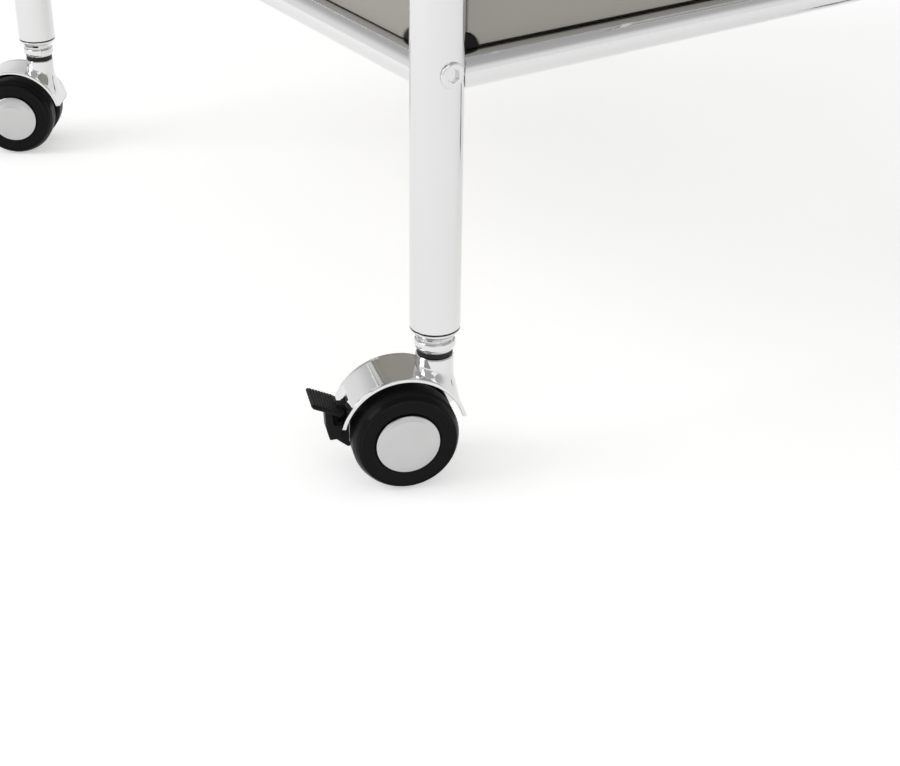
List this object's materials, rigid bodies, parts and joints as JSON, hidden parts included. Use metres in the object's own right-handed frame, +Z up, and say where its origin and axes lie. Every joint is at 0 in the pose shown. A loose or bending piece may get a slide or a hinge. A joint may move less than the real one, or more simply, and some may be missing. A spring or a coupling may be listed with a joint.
{
  "type": "spa trolley cart",
  "caption": "Rolling spa trolley with a chrome tube frame, enclosed drawers, an open shelf bay, a sunk top tray and swivel casters with foot brakes.",
  "frame": {"origin": "on the floor, centred between the four legs", "axes": "+Z up, -Y towards the drawer fronts, +X to the right when facing them"},
  "size_m": [0.612, 0.663, 0.8462],
  "materials": {
    "bright_chrome": "polished",
    "plain_steel": "zinc plated",
    "greige_paint": "satin powder coat",
    "gloss_black": "gloss",
    "matte_black": "matte",
    "black_rubber": "matte",
    "satin_chrome": "satin"
  },
  "bodies": {
    "frame": {"leg_front_left": "bright_chrome", "leg_front_right": "bright_chrome", "leg_back_left": "bright_chrome", "leg_back_right": "bright_chrome", "low_rails": "bright_chrome", "mid_rails": "bright_chrome", "top_rails": "bright_chrome", "rail_plugs": "plain_steel", "rail_spigots": "plain_steel", "frame_bolts": "bright_chrome", "leg_caps": "bright_chrome", "caster_stems": "bright_chrome", "caster_rings": "black_rubber", "side_panel_left": "greige_paint", "side_panel_right": "greige_paint", "back_panel": "greige_paint", "floor_deck": "greige_paint", "shelf_deck": "greige_paint", "top_deck": "greige_paint", "deck_pads": "black_rubber", "corner_blocks": "gloss_black", "runner_fixed": "plain_steel"},
    "lower_drawer": {"lower_drawer_front": "greige_paint", "lower_drawer_box": "greige_paint", "lower_drawer_pull": "bright_chrome", "lower_runner_inner": "plain_steel"},
    "lower_middle_slide": {"lower_runner_middle": "plain_steel"},
    "upper_drawer": {"upper_drawer_front": "greige_paint", "upper_drawer_box": "greige_paint", "upper_drawer_pull": "bright_chrome", "upper_runner_inner": "plain_steel"},
    "upper_middle_slide": {"upper_runner_middle": "plain_steel"},
    "front_left_caster": {"front_left_hood": "bright_chrome", "front_left_axle": "plain_steel", "front_left_brake_pin": "plain_steel"},
    "front_left_wheel_a": {"front_left_wheel_a": "gloss_black", "front_left_hub_cap_a": "satin_chrome"},
    "front_left_wheel_b": {"front_left_wheel_b": "gloss_black", "front_left_hub_cap_b": "satin_chrome"},
    "front_left_brake": {"front_left_brake_lever": "matte_black"},
    "front_right_caster": {"front_right_hood": "bright_chrome", "front_right_axle": "plain_steel"},
    "front_right_wheel_a": {"front_right_wheel_a": "gloss_black", "front_right_hub_cap_a": "satin_chrome"},
    "front_right_wheel_b": {"front_right_wheel_b": "gloss_black", "front_right_hub_cap_b": "satin_chrome"},
    "back_left_caster": {"back_left_hood": "bright_chrome", "back_left_axle": "plain_steel"},
    "back_left_wheel_a": {"back_left_wheel_a": "gloss_black", "back_left_hub_cap_a": "satin_chrome"},
    "back_left_wheel_b": {"back_left_wheel_b": "gloss_black", "back_left_hub_cap_b": "satin_chrome"},
    "back_right_caster": {"back_right_hood": "bright_chrome", "back_right_axle": "plain_steel", "back_right_brake_pin": "plain_steel"},
    "back_right_wheel_a": {"back_right_wheel_a": "gloss_black", "back_right_hub_cap_a": "satin_chrome"},
    "back_right_wheel_b": {"back_right_wheel_b": "gloss_black", "back_right_hub_cap_b": "satin_chrome"},
    "back_right_brake": {"back_right_brake_lever": "matte_black"}
  },
  "joints": [
    {"name": "lower_drawer_slide", "type": "slide", "parent": "frame", "child": "lower_drawer", "axis": [0, -1, 0], "range_m": [0, 0.42]},
    {"name": "lower_middle_slide_travel", "type": "slide", "parent": "frame", "child": "lower_middle_slide", "axis": [0, -1, 0], "range_m": [0, 0.21]},
    {"name": "upper_drawer_slide", "type": "slide", "parent": "frame", "child": "upper_drawer", "axis": [0, -1, 0], "range_m": [0, 0.42]},
    {"name": "upper_middle_slide_travel", "type": "slide", "parent": "frame", "child": "upper_middle_slide", "axis": [0, -1, 0], "range_m": [0, 0.21]},
    {"name": "front_left_swivel", "type": "hinge", "parent": "frame", "child": "front_left_caster", "pos_m": [-0.236, -0.286, 0.07], "axis": [0, 0, 1], "continuous": true},
    {"name": "front_left_wheel_a_spin", "type": "hinge", "parent": "front_left_caster", "child": "front_left_wheel_a", "pos_m": [-0.25479, -0.27916, 0.03], "axis": [-0.342, -0.9397, 0], "continuous": true},
    {"name": "front_left_wheel_b_spin", "type": "hinge", "parent": "front_left_caster", "child": "front_left_wheel_b", "pos_m": [-0.25479, -0.27916, 0.03], "axis": [-0.342, -0.9397, 0], "continuous": true},
    {"name": "front_left_brake_press", "type": "hinge", "parent": "front_left_caster", "child": "front_left_brake", "pos_m": [-0.27735, -0.27095, 0.028], "axis": [-0.342, -0.9397, 0], "range_deg": [0, 18]},
    {"name": "front_right_swivel", "type": "hinge", "parent": "frame", "child": "front_right_caster", "pos_m": [0.236, -0.286, 0.07], "axis": [0, 0, 1], "continuous": true},
    {"name": "front_right_wheel_a_spin", "type": "hinge", "parent": "front_right_caster", "child": "front_right_wheel_a", "pos_m": [0.25238, -0.29747, 0.03], "axis": [0.5736, 0.8192, 0], "continuous": true},
    {"name": "front_right_wheel_b_spin", "type": "hinge", "parent": "front_right_caster", "child": "front_right_wheel_b", "pos_m": [0.25238, -0.29747, 0.03], "axis": [0.5736, 0.8192, 0], "continuous": true},
    {"name": "back_left_swivel", "type": "hinge", "parent": "frame", "child": "back_left_caster", "pos_m": [-0.236, 0.286, 0.07], "axis": [0, 0, 1], "continuous": true},
    {"name": "back_left_wheel_a_spin", "type": "hinge", "parent": "back_left_caster", "child": "back_left_wheel_a", "pos_m": [-0.25238, 0.29747, 0.03], "axis": [-0.5736, -0.8192, 0], "continuous": true},
    {"name": "back_left_wheel_b_spin", "type": "hinge", "parent": "back_left_caster", "child": "back_left_wheel_b", "pos_m": [-0.25238, 0.29747, 0.03], "axis": [-0.5736, -0.8192, 0], "continuous": true},
    {"name": "back_right_swivel", "type": "hinge", "parent": "frame", "child": "back_right_caster", "pos_m": [0.236, 0.286, 0.07], "axis": [0, 0, 1], "continuous": true},
    {"name": "back_right_wheel_a_spin", "type": "hinge", "parent": "back_right_caster", "child": "back_right_wheel_a", "pos_m": [0.25479, 0.27916, 0.03], "axis": [0.342, 0.9397, 0], "continuous": true},
    {"name": "back_right_wheel_b_spin", "type": "hinge", "parent": "back_right_caster", "child": "back_right_wheel_b", "pos_m": [0.25479, 0.27916, 0.03], "axis": [0.342, 0.9397, 0], "continuous": true},
    {"name": "back_right_brake_press", "type": "hinge", "parent": "back_right_caster", "child": "back_right_brake", "pos_m": [0.27735, 0.27095, 0.028], "axis": [0.342, 0.9397, 0], "range_deg": [0, 18]}
  ],
  "couplings": [
    {"joint": "lower_middle_slide_travel", "follows": "lower_drawer_slide", "ratio": 0.5},
    {"joint": "upper_middle_slide_travel", "follows": "upper_drawer_slide", "ratio": 0.5}
  ]
}
